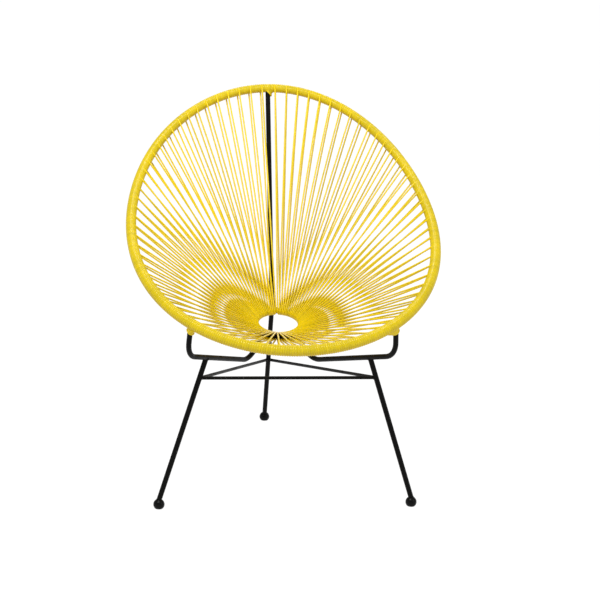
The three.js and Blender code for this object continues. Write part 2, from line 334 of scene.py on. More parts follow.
@dataclass
class HoopLine:
    """The hoop's centreline, from the front round by +X, and the places that are counted along it."""

    half_width: float = 350 * MM
    reach: float = 391.8 * MM             # of the plain cosine, to the front and to the back
    shoulder: float = 42.2 * MM           # half of how far the sides are carried back
    front_height: float = 407.2 * MM
    back_height: float = 862 * MM
    side_lift: float = 8.3 * MM           # half of how far the sides are lifted
    egg_shares: tuple[float, ...] = (1, 0.102, 0.045, 0.006)    # of the sines of the turn and its multiples
    back_rise_share: float = 0.043        # of the rise, in its third harmonic
    string_count: int = 80
    spacing_share: float = 0.1            # how much closer the strings stand in front and at the back
    samples: int = 7200
    heading_step: float = 1e-4            # radians to each side, for the heading

    def __post_init__(self) -> None:
        """Measures the widest part, and the length up to each sample."""
        self.turn_table = np.linspace(0, WHOLE_TURN, self.samples + 1)
        self.widest = 1.0
        self.widest = float(self.points(self.turn_table)[:, 0].max()) / self.half_width
        steps = np.linalg.norm(np.diff(self.points(self.turn_table), axis=0), axis=1)
        self.length_table = np.concatenate([[0.0], np.cumsum(steps)])
        self.length = float(self.length_table[-1])

    def points(self, turn: np.ndarray) -> np.ndarray:
        """Points of the egg.

        x is the half width times a sum of sines of the turn and its multiples; y is a cosine, carried back at
        the sides; z rises from front to back as a cosine with a little of its third harmonic, and is lifted
        at the sides.

        Args:
            turn: Round the egg from the front, in radians.

        Returns:
            The points, shaped as the turns with a last axis of three.
        """
        rise = (self.back_height - self.front_height) / 2
        egg = sum(share * np.sin((k + 1) * turn) for k, share in enumerate(self.egg_shares))
        sides = 1 - np.cos(2 * turn)
        back = (1 - self.back_rise_share) * np.cos(turn) + self.back_rise_share * np.cos(3 * turn)
        return np.stack([
            self.half_width / self.widest * egg,
            -self.reach * np.cos(turn) + self.shoulder * sides,
            self.front_height + rise * (1 - back) + self.side_lift * sides,
        ], axis=-1)

    def distance(self, place: Values) -> Values:
        """The length along the hoop up to a place that is counted in strings from the front."""
        half = 2 * np.asarray(place, float) / self.string_count
        return self.length * (half - self.spacing_share * np.sin(WHOLE_TURN * half) / WHOLE_TURN) / 2

    def frames(self, distance: Values, towards: np.ndarray) -> tuple[np.ndarray, ...]:
        """The hoop's centre and three directions.

        Args:
            distance: Along the hoop from the front.
            towards: The point that the second direction faces.

        Returns:
            Centre, along, across and up. Up is on the seat's side.
        """
        turn = np.interp(np.asarray(distance) % self.length, self.length_table, self.turn_table)
        centre = self.points(turn)
        along = unit(self.points(turn + self.heading_step) - self.points(turn - self.heading_step))
        across = square_to(along, towards - centre)
        return centre, along, across, np.cross(along, across)


@dataclass
class RingLine:
    """The small ring at the bottom of the basket, as angles from its front towards +X."""

    centre: tuple[float, float, float] = (0.0, 30 * MM, 349.7 * MM)
    radius: float = 57 * MM
    tilt: float = math.radians(16.7)      # its back is higher than its front
    bracket_angle: float = math.radians(45)

    def __post_init__(self) -> None:
        """Works out the ring's centre and the direction of its back."""
        self.middle = np.array(self.centre)
        self.back = np.array([0, math.cos(self.tilt), math.sin(self.tilt)])

    def frames(self, angle: Values) -> tuple[np.ndarray, np.ndarray]:
        """The middle of the ring's bar, which is the centre plus the radius along the spoke, and its heading.

        Args:
            angle: Round the ring.

        Returns:
            The points and the headings, shaped as the angles with a last axis of three.
        """
        angle = np.asarray(angle, float)[..., None]
        spoke = X_AXIS * np.sin(angle) - self.back * np.cos(angle)
        return self.middle + self.radius * spoke, spokes(angle, X_AXIS, self.back)


@dataclass(frozen=True)
class Run:
    """The directions at both ends of straight runs of cord from the hoop to the ring, a row for each run."""

    rim: np.ndarray                       # the hoop's centre
    along: np.ndarray                     # the hoop's heading
    lift: np.ndarray                      # out of the winding on the seat's side, square to the run
    away: np.ndarray                      # from the ring, square to both
    heading: np.ndarray                   # of the ring's bar
    face: np.ndarray                      # out of the basket's face at the ring
    inward: np.ndarray                    # into the ring's hole


@dataclass
class Seat:
    """The cord of one side: wound on the hoop between its strings, and strung to the ring and back."""

    hoop: HoopLine
    ring: RingLine
    side: Side
    count: int                            # strings on the side
    lean: float                           # the strings sit this far round the hoop, anticlockwise from above
    cord_radius: float = 2.2 * MM
    string_radius: float = 1.95 * MM      # of a cord that is drawn tight
    winding_floor: float = 7.9 * MM       # inside of the winding, just over the hoop's rod
    rows_per_turn: int = 8
    columns: int = 32
    end_slack: float = 0.15               # of a row: an end this near a row takes its place
    inside_rows: int = 34
    strings_per_length: int = 8
    length_gap: float = 0.1 * MM          # between the sleeves of two lengths of cord
    back_press: float = 0.35              # how much flatter the cord is pressed at the back of the hoop
    string_sides: int = 12
    tail_steps: int = 5
    tail_turn: float = math.radians(42)   # how far round its coil a string's tail goes
    tail_sink: float = 0.9 * MM           # how far the tail's end is under the crest
    run_shares: tuple[float, ...] = (0.12, 0.4, 0.7, 0.9, 0.97)    # stations, from the hoop to the ring
    run_crowding: tuple[float, ...] = (0, 0, 0, 0.3, 0.85)         # how squeezed a string is at each
    ring_steps: int = 13
    settled: float = 0.12                 # of the way round the bar, at each end, where the angle holds still
    squeezed_wide: float = 1.86 * MM      # half width of a string that crowds round the ring
    squeezed_high: float = 2.3 * MM
    ring_fit: float = 0.1 * MM
    bracket_passage: float = 8.8 * MM     # from the bracket's middle to the nearest string under the ring
    spine_passage: float = 8.6 * MM
    map_step: float = 1.37                # metres of cord from one string's map to the next one's
    # painted light: the strings are made lighter than the cord's own tone, to make up for the shade they cast
    # on one another
    string_painted_light: float = -1.5
    string_groove: float = 0.1            # the shade where strings crowd round the ring
    winding_tone: float = 2.0
    turn_tone: float = 0.6                # from one turn of the winding to the next
    drifts: tuple[tuple[float, float], ...] = ((0.5, 21), (0.4, 57))    # tone, and its radians a metre
    turn_draws: int = 977                 # random tones for the turns
    string_draw: int = 1000               # the first string's random tone
    draws: int = 2000
    seed: int = 11

    def __post_init__(self) -> None:
        """Counts the turns: a whole number between strings, as many as the cord's width allows."""
        self.shares = (np.arange(self.count) + 0.5) / self.count
        strings = self.hoop.distance(self.shares * self.hoop.string_count / 2) + self.side.value * self.lean
        gaps = np.diff(strings)
        turns = np.floor(gaps / (2 * self.cord_radius))
        pitches = gaps / turns
        end = self.hoop.length / 2
        counted = np.concatenate([[0.0], np.cumsum(turns)])
        before = -strings[0] / pitches[0]
        after = counted[-1] + (end - strings[-1]) / pitches[-1]
        self.knots = np.concatenate([[0.0], strings, [end]])
        self.turns = np.concatenate([[before], counted, [after]])
        self.pitches = np.interp(strings, (strings[:-1] + strings[1:]) / 2, pitches)
        self.coil_radius = self.winding_floor + self.cord_radius
        self.tones = np.random.default_rng(self.seed).normal(0, 1, self.draws)

    def add_winding(self, skin: Skin, begin: float, end: float) -> None:
        """The cord wound on the hoop between two distances along it, as one closed sleeve.

        The radius is a height field on a grid whose rows follow the turns. A row's phase counts turns from
        the front, and a column's angle goes round the hoop from the basket's middle by the seat's side. The
        distance along the hoop is where the turn count reaches phase + angle - a quarter, so that a crest
        passes over the seat's side at every string. Phases past an end are drawn back to it, and a plain tube
        inside closes the sleeve.

        Args:
            skin: The mesh to add to.
            begin: Where the sleeve starts, along the hoop.
            end: Where it stops.
        """
        per = self.rows_per_turn
        shift = np.arange(self.columns + 1) / self.columns - 0.25
        low = np.interp(begin, self.knots, self.turns) - shift
        high = np.interp(end, self.knots, self.turns) - shift
        first = np.floor(low * per + self.end_slack)
        last = np.ceil(high * per - self.end_slack)
        first[-1], last[-1] = first[0] - per, last[0] - per
        base = first.min()
        rows = np.arange(base, last.max() + 1)[:, None]
        held = np.clip(rows, first, last)
        phase = np.where(held <= first, low, np.where(held >= last, high, held / per))
        distance = np.interp(phase + shift, self.turns, self.knots)
        angle = ((shift + 0.25) * WHOLE_TURN)[:, None]

        column = np.arange(self.columns + 1)
        wrap = np.where(column == self.columns, per, 0)
        codes = ((held + wrap - base) * self.columns + column % self.columns).astype(int)
        _, where, lookup = np.unique(codes, return_index=True, return_inverse=True)
        points, tone, groove = self.coil(phase, distance, angle)
        numbers = skin.add_points(points.reshape(-1, 3)[where], tone.ravel()[where], groove.ravel()[where])
        grid = numbers[lookup].reshape(codes.shape)

        pitch = 2 * self.cord_radius
        nearest = np.round((rows[:-1] + 0.5) / per)
        cells = corners_of(grid[..., None])[..., 0]
        maps = corners_of(np.stack([(phase + shift) * WHOLE_TURN * self.coil_radius, phase * pitch], axis=-1))
        maps[..., 1] -= np.repeat(nearest, self.columns, axis=1).reshape(-1, 1) * pitch
        left = cells[:, 0] == cells[:, 3]
        right = cells[:, 1] == cells[:, 2]
        for chosen, corners in ((~left & ~right, [0, 1, 2, 3]), (left & ~right, [0, 1, 2]),
                                (right & ~left, [0, 1, 3])):
            skin.add_faces(cells[chosen][:, corners], maps[chosen][:, corners])

        begins = grid[(first[:-1] - base).astype(int), column[:-1]]
        ends = grid[(last[:-1] - base).astype(int), column[:-1]]
        inside = np.broadcast_to(np.linspace(end, begin, self.inside_rows)[:, None],
                                 (self.inside_rows, self.columns))
        centre, _, across, up = self.hoop.frames(inside, self.ring.middle)
        inner = skin.add_points(centre + self.winding_floor * spokes(angle[:-1], across, up), 0.0, 1.0)
        skin.add_strip(np.concatenate([ends[None], inner, begins[None]]))

    def coil(self, phase: np.ndarray, distance: np.ndarray, angle: np.ndarray) -> tuple[np.ndarray, ...]:
        """The winding's surface.

        Over the width of one turn the radius is the winding's inside plus the cord's radius times 1 + the
        crest, which has the groove's floor as its least value. Towards the back the cord's part is pressed
        flatter, by the fourth power of the sine of half the turn. The tone changes from turn to turn at
        random and drifts along the hoop in sines.

        Args:
            phase: The turns counted from the front, at each point of the grid.
            distance: Along the hoop.
            angle: Round the hoop, for each column.

        Returns:
            Points, tones and grooves.
        """
        centre, _, across, up = self.hoop.frames(distance, self.ring.middle)
        offset = 2 * np.abs(phase - np.round(phase))
        height = np.maximum(crest(offset), GROOVE_FLOOR)
        press = 1 - self.back_press * np.sin(math.pi * distance / self.hoop.length) ** 4
        radius = (self.winding_floor + self.cord_radius * press * (1 + height))[..., None]
        turn = np.round(phase).astype(int)
        drift = sum(size * np.sin(distance * rate) for size, rate in self.drifts)
        tone = self.winding_tone + self.turn_tone * self.tones[turn % self.turn_draws] + drift
        return centre + radius * spokes(angle, across, up), tone, offset ** GROOVE_POWER

    def lower_angle(self, index: np.ndarray) -> np.ndarray:
        """Where strings come out under the ring: they part there to let the brackets and the spine in.

        Args:
            index: Numbers of the strings from the front.

        Returns:
            Angles round the ring, in equal steps from the front to the bracket and on to the spine.
        """
        in_front = round(self.ring.bracket_angle / math.pi * self.count)
        bracket = self.bracket_passage / self.ring.radius
        spine = self.spine_passage / self.ring.radius
        start = self.ring.bracket_angle + bracket
        front = (self.ring.bracket_angle - bracket) * (index + 0.5) / (in_front - 0.5)
        behind = start + (math.pi - spine - start) * (index - in_front) / (self.count - 1 - in_front)
        return np.where(index < in_front, front, behind)

    def run(self, distance: np.ndarray, angle: np.ndarray) -> Run:
        """The directions of straight runs between the hoop and the ring.

        Args:
            distance: Along the hoop, for each run.
            angle: Round the ring.

        Returns:
            The runs.
        """
        rim, along, _, _ = self.hoop.frames(distance, self.ring.middle)
        middle, heading = self.ring.frames(angle)
        pull = unit(rim - middle)
        lift = unit(np.cross(pull, along))
        away = unit(np.cross(along, lift))
        face = unit(np.cross(pull, heading))
        return Run(rim, along, lift, away, heading, face, inward=unit(np.cross(face, heading)))

    def tail(self, run: Run, facing: int, pitch: np.ndarray) -> np.ndarray:
        """The strings' tails, each an arc of its coil's circle that sinks under the crest.

        Args:
            run: The runs that the tails belong to.
            facing: 1 on the seat's side of the hoop, -1 on the far side.
            pitch: Of the winding, for each string.

        Returns:
            Points, shaped (strings, steps, 3), from the sunk end to the tangent.
        """
        swing = np.linspace(self.tail_turn, 0, self.tail_steps)[:, None]
        sunk = self.coil_radius - self.tail_sink * (swing / self.tail_turn)
        turned = facing * np.cos(swing) * run.lift[:, None] + np.sin(swing) * run.away[:, None]
        climb = facing * pitch[:, None, None] * swing / WHOLE_TURN * run.along[:, None]
        return run.rim[:, None] + sunk * turned + climb

    def add_strings(self, skin: Skin, index: np.ndarray) -> None:
        """Strings: out of the winding, straight to the ring, round it, and straight back under the first run.

        At the hoop a string leaves its coil's circle on the tangent. At the ring it goes half round the bar,
        from the basket's face by the hole to the far side, while its angle round the ring eases from the
        upper one to the lower one.

        Args:
            skin: The mesh to add to.
            index: Numbers of the strings from the front.
        """
        pitch = self.pitches[index]
        upper = self.shares[index] * math.pi
        lower = self.lower_angle(index)
        out = self.run(self.knots[1 + index], upper)
        back = self.run(self.knots[1 + index] - 0.5 * pitch, lower)

        turn = np.linspace(0, math.pi, self.ring_steps)[:, None]
        share = eased(np.clip((turn / math.pi - self.settled) / (1 - 2 * self.settled), 0, 1))
        middle, heading = self.ring.frames(mix(upper[:, None], lower[:, None], share[:, 0]))
        face = unit(mix(out.face[:, None], back.face[:, None], share))
        inward = unit(mix(out.inward[:, None], back.inward[:, None], share))
        reach = HEAVY.radius + self.ring_fit + self.squeezed_high
        wrap = middle + reach * spokes(turn, face, inward)

        off = self.tail(out, 1, pitch)
        on = self.tail(back, -1, pitch)[:, ::-1]
        shares = np.array(self.run_shares)[:, None]
        run_in = mix(off[:, -1:], wrap[:, :1], shares)
        run_out = mix(on[:, :1], wrap[:, -1:], shares)[:, ::-1]
        path = np.concatenate([off, run_in, wrap, run_out, on], axis=1)
        straight = (len(index), self.tail_steps + len(shares), 3)
        facing = np.concatenate([np.broadcast_to(out.heading[:, None], straight), heading,
                                 np.broadcast_to(back.heading[:, None], straight)], axis=1)
        ramp = np.concatenate([np.zeros(self.tail_steps), self.run_crowding])
        crowd = np.concatenate([ramp, np.ones(self.ring_steps), ramp[::-1]])
        skin.add_tube(path, facing, mix(self.string_radius, self.squeezed_wide, crowd),
                      mix(self.string_radius, self.squeezed_high, crowd), self.string_sides,
                      tone=self.tones[self.string_draw + index][:, None, None] + self.string_painted_light,
                      groove=self.string_groove * crowd[:, None], start=index[:, None] * self.map_step)

    def build(self, finish: bpy.types.Material) -> None:
        """Makes the side's five lengths of cord, each with its share of the winding and the strings.

        Args:
            finish: The cord's material.
        """
        each = self.strings_per_length
        for number in range(self.hoop.string_count // 2 // each):
            begin, end = self.hoop.distance(np.array([number, number + 1]) * each)
            skin = Skin()
            self.add_winding(skin, begin + self.length_gap / 2, end - self.length_gap / 2)
            self.add_strings(skin, np.arange(number * each, min((number + 1) * each, self.count)))
            node = f"{self.side.word}_cord_{number + 1}"
            skin.build(f"{node}_strung", self.side, Slot.CORD, [node], finish, sharp=75)


@dataclass
class Tripod:
    """The bars: hoop rod, ring, spine, brackets, legs and stretchers, with their welds."""

    hoop: HoopLine
    ring: RingLine
    coat: bpy.types.Material
    bare: bpy.types.Material
    hoop_radius: float = 7.5 * MM
    hoop_sides: int = 16
    hoop_stations: int = 320
    ring_stations: int = 144
    corner_place: tuple[float, ...] = (228 * MM, -304 * MM, 368.7 * MM)    # the bracket's outer bend
    low_place: tuple[float, ...] = (69.4 * MM, -35.1 * MM, 278.3 * MM)     # its bend under the basket
    elbow_place: tuple[float, ...] = (0.0, 206.9 * MM, 344 * MM)           # the spine's bend
    front_foot_place: tuple[float, ...] = (289.5 * MM, -261 * MM, 9 * MM)
    rear_foot_place: tuple[float, ...] = (0.0, 339.5 * MM, 9 * MM)
    bracket_bend: float = 53 * MM
    spine_bend: float = 50 * MM
    bend_steps: int = 14
    bracket_place: int = 8                # counted in strings from the front
    bracket_offset: float = 3 * MM        # the bracket meets the hoop this far past its place
    spine_offset: float = 7.5 * MM        # and the spine this far to the left of the middle
    leg_seat_share: float = 0.281         # of the bracket's run from its outer bend, where the leg ends
    front_stretcher_share: float = 0.861  # of the front leg, from its foot
    rear_stretcher_share: float = 0.508
    stretcher_spread: float = 2.5 * MM
    front_foot_inset: float = 3 * MM      # a front ball sits this far inward of its leg's axis
    bead_stations: int = 64
    bead_sides: int = 10
    bead_nudge: float = 0.01              # sets a bead's first angle where the two bars are in line
    ripples: tuple[int, float] = (16, 0.12)    # round a bead, and their share of its radius
    swells: tuple[int, float] = (5, 0.06)

    def __post_init__(self) -> None:
        """Works out the bars' centrelines."""
        self.bracket_corner = np.array(self.corner_place)
        self.bracket_low = np.array(self.low_place)
        self.spine_elbow = np.array(self.elbow_place)
        self.front_foot = np.array(self.front_foot_place)
        self.front_ball = self.front_foot - X_AXIS * self.front_foot_inset
        self.rear_foot = np.array(self.rear_foot_place)
        self.bracket_top, self.bracket_heading = self.at_hoop(self.bracket_place, self.bracket_offset)
        self.spine_top, self.spine_heading = self.at_hoop(self.hoop.string_count / 2, self.spine_offset)
        self.bracket_tip, self.bracket_ring_heading = self.ring.frames(self.ring.bracket_angle)
        self.spine_tip, self.spine_ring_heading = self.ring.frames(math.pi)
        self.bracket_line = filleted(np.array([self.bracket_top, self.bracket_corner, self.bracket_low,
                                               self.bracket_tip]), self.bracket_bend, self.bend_steps)
        self.spine_line = filleted(np.array([self.spine_top, self.spine_elbow, self.spine_tip]),
                                   self.spine_bend, self.bend_steps)
        middle = 1 + self.bend_steps // 2
        self.rear_leg_top = self.spine_line[middle]
        self.spine_run = self.spine_line[middle + 1] - self.spine_line[middle - 1]
        self.leg_top = mix(self.bracket_corner, self.bracket_low, self.leg_seat_share)
        self.front_leg = self.leg_top - self.front_foot
        self.rear_leg = self.rear_leg_top - self.rear_foot
        self.front_tie = self.front_foot + self.front_leg * self.front_stretcher_share
        self.rear_tie = (self.rear_foot + self.rear_leg * self.rear_stretcher_share
                         + X_AXIS * self.stretcher_spread)

    def at_hoop(self, place: float, offset: float) -> tuple[np.ndarray, np.ndarray]:
        """The hoop's centre and heading at a distance past a place."""
        return self.hoop.frames(self.hoop.distance(place) + offset, self.ring.middle)[:2]

    def add_bead(self, skin: Skin, stock: Stock, end: np.ndarray, away: np.ndarray, through: np.ndarray,
                 axis: np.ndarray) -> None:
        """A weld bead where a bar ends on a heavy bar.

        The bead's middle runs where the two cylinders meet. From each point at angle a round the ending bar's
        end, the distance t along the bar solves |square part of (point + t away - through)| = the other bar's
        radius, which is a quadratic; its larger root is where the bar comes out. The bead's own radius swells
        and shrinks a little, as each ripple of the weld does.

        Args:
            skin: The mesh to add to.
            stock: Of the ending bar.
            end: A point on the ending bar's centreline.
            away: Its direction, away from the joint.
            through: A point on the other bar's centreline.
            axis: The other bar's direction.
        """
        away, axis = unit(away), unit(axis)
        across = square_to(away, axis + self.bead_nudge * Z_AXIS)
        turn = angles_round(self.bead_stations)
        spoke = spokes(turn[:, None], across, np.cross(away, across))
        start = end + stock.radius * spoke - through
        start = start - (start @ axis)[:, None] * axis
        slope = away - (away @ axis) * axis
        a, b, c = slope @ slope, 2 * start @ slope, np.sum(start * start, axis=1) - HEAVY.radius ** 2
        root = np.sqrt(np.maximum(b * b - 4 * a * c, 0))
        path = end + stock.radius * spoke + ((root - b) / (2 * a))[:, None] * away
        (ripples, ripple), (swells, swell) = self.ripples, self.swells
        size = stock.bead * (1 + ripple * np.cos(ripples * turn) + swell * np.sin(swells * turn + 1))
        skin.add_tube(path, spoke, size, sides=self.bead_sides, loop=True)

    def build_bar(self, node: str, side: Side, stock: Stock, path: np.ndarray, wanted: np.ndarray,
                  welds: list[tuple[np.ndarray, ...]], loop: bool = False) -> None:
        """Makes a bar and the beads round its ends.

        Args:
            node: The CAD node that it replaces.
            side: Of the chair.
            stock: What it is cut from.
            path: Its centreline.
            wanted: The direction that its first side faces.
            welds: For each bead, its end, away, through and axis.
            loop: Whether the bar's ends meet.
        """
        skin = Skin()
        skin.add_tube(path, wanted, stock.radius, sides=stock.sides, loop=loop)
        for weld in welds:
            self.add_bead(skin, stock, *weld)
        skin.build(f"{node}_bar", side, Slot.FRAME, [node], self.coat)

    def build(self) -> None:
        """Makes the bars: those in the middle, then each side's."""
        skin = Skin()
        distance = np.arange(self.hoop_stations) / self.hoop_stations * self.hoop.length
        path = self.hoop.frames(distance, self.ring.middle)[0]
        skin.add_tube(path, self.ring.middle - path, self.hoop_radius, sides=self.hoop_sides, loop=True)
        skin.build("hoop_rod_bare", Side.RIGHT, Slot.BARE_ROD, ["hoop_rod"], self.bare)

        path, _ = self.ring.frames(angles_round(self.ring_stations))
        self.build_bar("centre_ring", Side.RIGHT, HEAVY, path, self.ring.middle - path, [], loop=True)
        self.build_bar("back_spine", Side.RIGHT, HEAVY, self.spine_line, X_AXIS, [
            (self.spine_line[-1], self.spine_line[-2] - self.spine_tip, self.spine_tip,
             self.spine_ring_heading)])
        self.build_bar("rear_leg", Side.RIGHT, HEAVY, np.array([self.rear_foot, self.rear_leg_top]), X_AXIS, [
            (self.rear_leg_top, -self.rear_leg, self.rear_leg_top, self.spine_run)])
        flips = [np.array([side.value, 1, 1]) for side in Side]
        ties = np.array([self.front_tie * flip for flip in flips])
        self.build_bar("front_stretcher", Side.RIGHT, LIGHT, ties, Z_AXIS, [
            (tie, -X_AXIS * flip, self.front_foot * flip, self.front_leg * flip)
            for tie, flip in zip(ties, flips)])
        for side in Side:
            self.build_side(side)

    def build_side(self, side: Side) -> None:
        """Makes one side's bracket, leg and stretcher.

        Args:
            side: Of the chair.
        """
        diagonal = np.array([1.0, 1.0, 0.0])
        self.build_bar(f"{side.word}_bracket", side, HEAVY, self.bracket_line, diagonal, [
            (self.bracket_tip, self.bracket_line[-2] - self.bracket_tip, self.bracket_tip,
             self.bracket_ring_heading)])
        self.build_bar(f"{side.word}_leg", side, HEAVY, np.array([self.front_foot, self.leg_top]), diagonal, [
            (self.leg_top, -self.front_leg, self.leg_top, self.bracket_low - self.bracket_corner)])
        ties = np.array([self.front_tie, self.rear_tie])
        self.build_bar(f"{side.word}_stretcher", side, LIGHT, ties, Z_AXIS, [
            (self.front_tie, ties[1] - ties[0], self.front_foot, self.front_leg),
            (self.rear_tie, ties[0] - ties[1], self.rear_foot, self.rear_leg)])


@dataclass
class Lashing:
    """Cord wound down over the joint of a bar and the hoop, where the winding can't pass."""

    reach: float = 20.5 * MM              # down the bar from the hoop's centre, on average
    skew: float = 4.5 * MM                # how much further it comes on the inner side
    start: float = 3 * MM
    cord_radius: float = 2.1 * MM
    outer_share: float = 0.25             # of the cord's width that shows on the outer side
    spread: float = 9 * MM                # of the fillet along the hoop
    decay: float = 15.5 * MM              # how far down the fillet comes
    decay_power: int = 6                  # how suddenly it ends
    tone: float = 0.0
    tuck: float = 0.1                     # of the cord's width, left at the lower edge
    end_radius: float = 1.5 * MM          # of the last turn, pulled tight over the lower edge
    end_share: float = 0.6                # of the cord's width, from the bar to its middle
    # painted light: the last turn is made lighter, as the strings are, where it catches the light over the
    # lower edge
    end_turn_painted_light: float = -1.5
    end_sides: int = 10
    turns: int = 5
    rows_per_turn: int = 8
    sides: int = 64

    def build(self, name: str, side: Side, top: np.ndarray, away: np.ndarray, heading: np.ndarray,
              finish: bpy.types.Material) -> None:
        """Makes a closed collar round the bar's top.

        At angle a round the bar, the turns share out the way from the start to the lower edge, which is reach
        - skew cos(a) from the hoop's centre. The radius is the bar's, plus half the cord's width times 1 +
        the crest over each turn, and the width thins out on the outer side. On the inner side the turns
        stretch along the hoop by a fillet, which ends down the bar as exp(-d^6) does.

        Args:
            name: Of the piece.
            side: Of the chair.
            top: The bar's end on the hoop's centreline.
            away: The bar's direction from there.
            heading: Of the hoop.
            finish: The cord's material.
        """
        away = unit(away)
        along = square_to(away, heading)
        over = np.cross(away, along)
        angle = angles_round(self.sides)
        share = np.linspace(0, 1, self.turns * self.rows_per_turn + 1)[:, None]
        edge = self.reach - self.skew * np.cos(angle)
        down = mix(self.start, edge, share)
        offset = 2 * np.abs(self.turns * share + 0.5 - np.round(self.turns * share + 0.5))
        inner = 0.5 - 0.5 * np.cos(angle)
        fillet = self.spread * inner ** 2 * np.exp(-((down / self.decay) ** self.decay_power))
        cord = 2 * self.cord_radius * mix(self.outer_share, 1, inner)
        radius = HEAVY.radius + cord * (0.5 + 0.5 * np.maximum(crest(offset), GROOVE_FLOOR))
        radius[-1] = HEAVY.radius + self.tuck * cord
        points = (top + down[..., None] * away + (radius * np.cos(angle) - fillet)[..., None] * along
                  + (radius * np.sin(angle))[..., None] * over)
        skin = Skin()
        numbers = skin.add_points(points, self.tone, offset ** GROOVE_POWER)
        skin.add_strip(numbers)
        skin.add_faces(numbers[:1, ::-1])
        skin.add_faces(numbers[-1:])
        spoke = spokes(angle[:, None], along, over)
        end_turn = (top + (edge - self.end_radius)[:, None] * away
                    + (HEAVY.radius + self.end_share * cord)[:, None] * spoke)
        skin.add_tube(end_turn, spoke, self.end_radius, sides=self.end_sides, loop=True, tone=self.end_turn_painted_light)
        skin.build(name, side, Slot.CORD, [], finish, sharp=60)


@dataclass
class BallFoot:
    """A ball with a flat underside, pushed on a leg's end."""

    radius: float = 12.8 * MM
    fit: float = 0.15 * MM
    lip: float = 1.1 * MM
    lip_steps: int = 5
    bore_step: float = 0.45               # of the ball's radius: the height of a ring halfway down the bore
    bore_depth: float = 0.8 * MM          # past the leg's end
    mould_line: float = 0.012             # of the ball's radius
    mould_width: float = 0.02             # radians
    rows: int = 47
    sides: int = 64

    def build(self, word: str, side: Side, centre: np.ndarray, foot: np.ndarray, leg_top: np.ndarray,
              finish: bpy.types.Material) -> None:
        """Makes a foot.

        The profile goes from the ball's lower pole by its equator, where the mould parted, to a small lip
        round the bore, down the bore and across its floor. It is turned about the leg's direction. Above the
        equator each ring slides towards the leg's own line, by the eased share of its way to the lip, and its
        points are drawn back to the ball. The part under the floor's level is pressed flat.

        Args:
            word: The leg's, left, right or rear.
            side: Of the chair.
            centre: Of the ball.
            foot: The leg's end inside the ball.
            leg_top: The leg's other end.
            finish: The foot's material.
        """
        axis = unit(leg_top - foot)
        across = square_to(axis, X_AXIS)
        spoke = spokes(angles_round(self.sides)[:, None], across, np.cross(axis, across))
        end = float((foot - centre) @ axis)
        slide = foot - centre - end * axis
        bore = HEAVY.radius + self.fit

        mouth = math.acos((bore + self.lip) / self.radius)
        polar = np.linspace(-math.pi / 2, mouth, self.rows + 1)[1:, None, None]
        size = self.radius * (1 + self.mould_line * np.exp(-((polar / self.mould_width) ** 2)))
        share = eased(np.clip(polar / mouth, 0, 1))
        ball = size * unit(np.sin(polar) * axis + np.cos(polar) * spoke + share * slide / self.radius)

        turn = np.linspace(0, math.pi / 2, self.lip_steps + 1)[1:, None]
        out = np.concatenate([bore + self.lip * (1 - np.sin(turn)), [[bore], [bore]]])
        levels = np.array([self.bore_step * self.radius, end - self.bore_depth])
        height = np.concatenate([ball[-1] @ axis + 0.5 * self.lip * np.sin(2 * turn),
                                 np.repeat(levels[:, None], self.sides, axis=1)])
        socket = height[..., None] * axis + out[..., None] * spoke + slide
        points = centre + np.concatenate([ball, socket])
        poles = centre + np.array([-self.radius * axis, slide + (end - self.bore_depth) * axis])
        for block in (points, poles):
            block[..., 2] = np.maximum(block[..., 2], 0.0)

        skin = Skin()
        numbers = skin.add_points(points)
        ends = skin.add_points(poles)
        skin.add_strip(numbers)
        beside = np.roll(numbers, -1, axis=1)
        skin.add_faces(np.stack([np.full(self.sides, ends[0]), beside[0], numbers[0]], axis=1))
        skin.add_faces(np.stack([np.full(self.sides, ends[1]), numbers[-1], beside[-1]], axis=1))
        skin.build(f"{word}_ball_foot", side, Slot.FEET, [f"{word}_foot"], finish, sharp=50)


class Bench:
    """Places and wires the nodes of one node tree."""

    def __init__(self, tree: bpy.types.NodeTree) -> None:
        """Starts on a tree."""
        self.tree = tree

    def feed(self, inputs: object, terms: dict) -> None:
        """Gives input sockets their values, or the sockets that feed them.

        Args:
            inputs: A node's input sockets.
            terms: A value or a socket for each, by name or number.
        """
        for key, term in terms.items():
            if isinstance(term, bpy.types.NodeSocket):
                self.tree.links.new(term, inputs[key])
            else:
                inputs[key].default_value = term

    def node(self, kind: str, terms: dict, **settings: object) -> bpy.types.bpy_prop_collection:
        """Adds a shader node.

        Args:
            kind: The node's type, without its first word.
            terms: A value or a socket for each input, by name or number.
            settings: The node's own settings.

        Returns:
            The node's output sockets.
        """
        node = self.tree.nodes.new(f"ShaderNode{kind}")
        for key, value in settings.items():
            setattr(node, key, value)
        self.feed(node.inputs, terms)
        return node.outputs

    def math(self, operation: str, *terms: object) -> bpy.types.NodeSocket:
        """A Math node's result. A term is a number or a socket."""
        return self.node("Math", dict(enumerate(terms)), operation=operation)[0]

    def mixed(self, share: object, a: object, b: object) -> bpy.types.NodeSocket:
        """A colour from a to b. A term is a colour or a socket."""
        return self.node("Mix", {0: share, 6: a, 7: b}, data_type="RGBA")[2]

    def ranged(self, value: object, source: tuple[float, float],
               target: tuple[float, float] = (0.0, 1.0)) -> bpy.types.NodeSocket:
        """A value mapped from the source's limits to the target's, and held between them."""
        return self.node("MapRange", dict(enumerate((value, *source, *target))))[0]

    def upward(self) -> bpy.types.NodeSocket:
        """How much the surface faces up, from -1 to 1."""
        return self.node("SeparateXYZ", {0: self.node("NewGeometry", {})["Normal"]})[2]

    def bump(self, height: bpy.types.NodeSocket, strength: float, distance: float) -> bpy.types.NodeSocket:
        """The normal of a surface with small heights on it."""
        return self.node("Bump", {"Strength": strength, "Distance": distance, "Height": height})[0]


